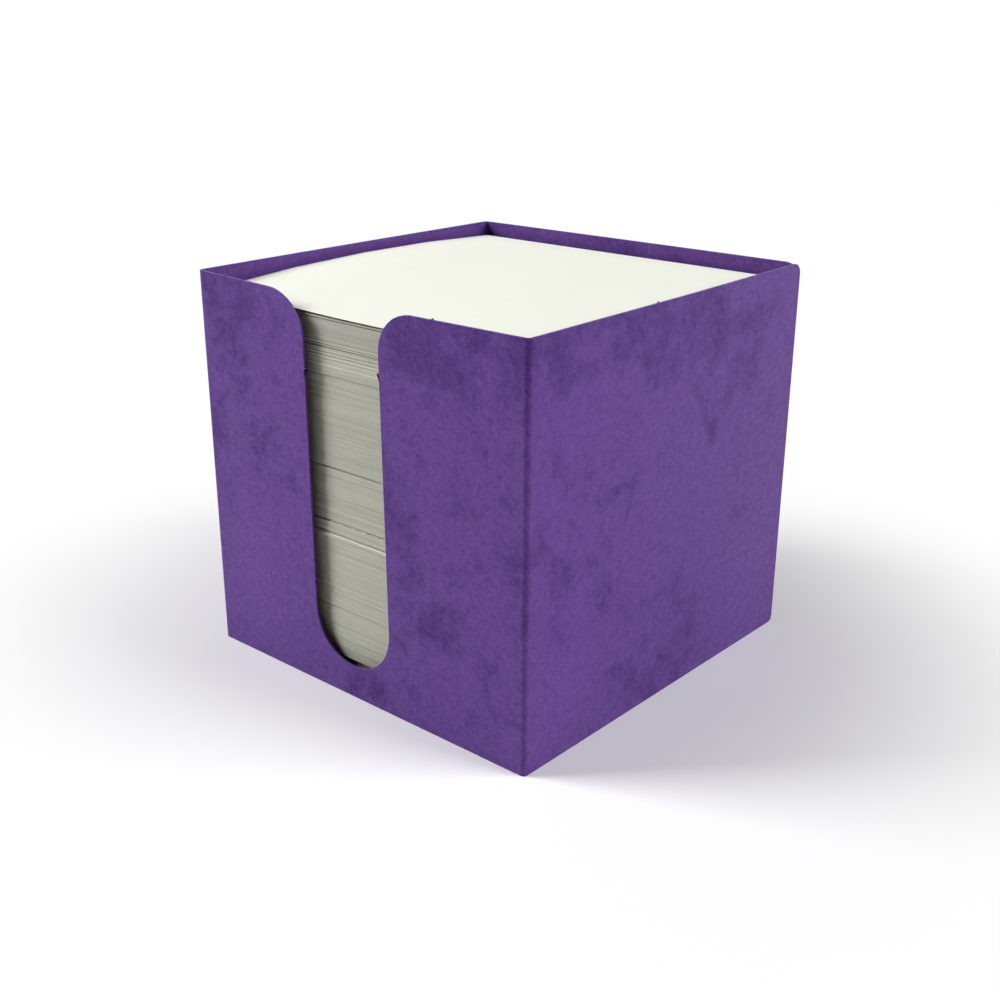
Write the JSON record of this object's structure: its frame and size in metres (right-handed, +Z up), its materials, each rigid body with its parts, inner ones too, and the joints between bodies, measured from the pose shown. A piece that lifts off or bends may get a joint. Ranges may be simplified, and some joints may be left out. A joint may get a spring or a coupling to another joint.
{
  "type": "memo box",
  "caption": "Open-topped folded pressboard memo box with a round-ended finger slot in its front wall, holding a stack of loose square note sheets that lift out.",
  "frame": {"origin": "centre of the case's footprint, on the table", "axes": "+Z up, -Y out of the front wall that has the finger slot, +X to the right of someone facing that wall"},
  "size_m": [0.095, 0.0954, 0.0895],
  "materials": {
    "pressboard": "mottled purple glazed pressboard, low lustre",
    "glue": "dried dispersion glue film",
    "paper": "matt uncoated white note paper"
  },
  "bodies": {
    "case": {"front_wall": "pressboard", "right_wall": "pressboard", "rear_wall": "pressboard", "left_wall": "pressboard", "floor_panel": "pressboard", "front_right_crease": "pressboard", "front_left_crease": "pressboard", "rear_left_crease": "pressboard", "floor_crease": "pressboard", "seam_crease": "pressboard", "seam_flap": "pressboard", "front_tab_crease": "pressboard", "left_tab_crease": "pressboard", "right_tab_crease": "pressboard", "front_tab": "pressboard", "left_tab": "pressboard", "right_tab": "pressboard", "seam_glue": "glue", "front_tab_glue": "glue", "left_tab_glue": "glue", "right_tab_glue": "glue"},
    "wad_1": {"note_wad_1": "paper"},
    "wad_2": {"note_wad_2": "paper"},
    "wad_3": {"note_wad_3": "paper", "proud_sheets": "paper"},
    "wad_4": {"note_wad_4": "paper"},
    "wad_5": {"note_wad_5": "paper"},
    "wad_6": {"note_wad_6": "paper"},
    "wad_7": {"note_wad_7": "paper"},
    "wad_8": {"note_wad_8": "paper"},
    "wad_9": {"note_wad_9": "paper"},
    "loose_wad": {"loose_sheets": "paper"},
    "top_sheet": {"top_sheet": "paper"}
  },
  "joints": [
    {"name": "lift_wad_1", "type": "slide", "parent": "case", "child": "wad_1", "axis": [0, 0, 1], "range_m": [0, 0.09]},
    {"name": "lift_wad_2", "type": "slide", "parent": "wad_1", "child": "wad_2", "axis": [0, 0, 1], "range_m": [0, 0.0765]},
    {"name": "lift_wad_3", "type": "slide", "parent": "wad_2", "child": "wad_3", "axis": [0, 0, 1], "range_m": [0, 0.0683]},
    {"name": "lift_wad_4", "type": "slide", "parent": "wad_3", "child": "wad_4", "axis": [0, 0, 1], "range_m": [0, 0.0543]},
    {"name": "lift_wad_5", "type": "slide", "parent": "wad_4", "child": "wad_5", "axis": [0, 0, 1], "range_m": [0, 0.0515]},
    {"name": "lift_wad_6", "type": "slide", "parent": "wad_5", "child": "wad_6", "axis": [0, 0, 1], "range_m": [0, 0.039]},
    {"name": "lift_wad_7", "type": "slide", "parent": "wad_6", "child": "wad_7", "axis": [0, 0, 1], "range_m": [0, 0.0238]},
    {"name": "lift_wad_8", "type": "slide", "parent": "wad_7", "child": "wad_8", "axis": [0, 0, 1], "range_m": [0, 0.0188]},
    {"name": "lift_wad_9", "type": "slide", "parent": "wad_8", "child": "wad_9", "axis": [0, 0, 1], "range_m": [0, 0.0128]},
    {"name": "lift_loose_wad", "type": "slide", "parent": "wad_9", "child": "loose_wad", "axis": [0, 0, 1], "range_m": [0, 0.0069]},
    {"name": "lift_top_sheet", "type": "slide", "parent": "loose_wad", "child": "top_sheet", "axis": [0, 0, 1], "range_m": [0, 0.0056]}
  ]
}
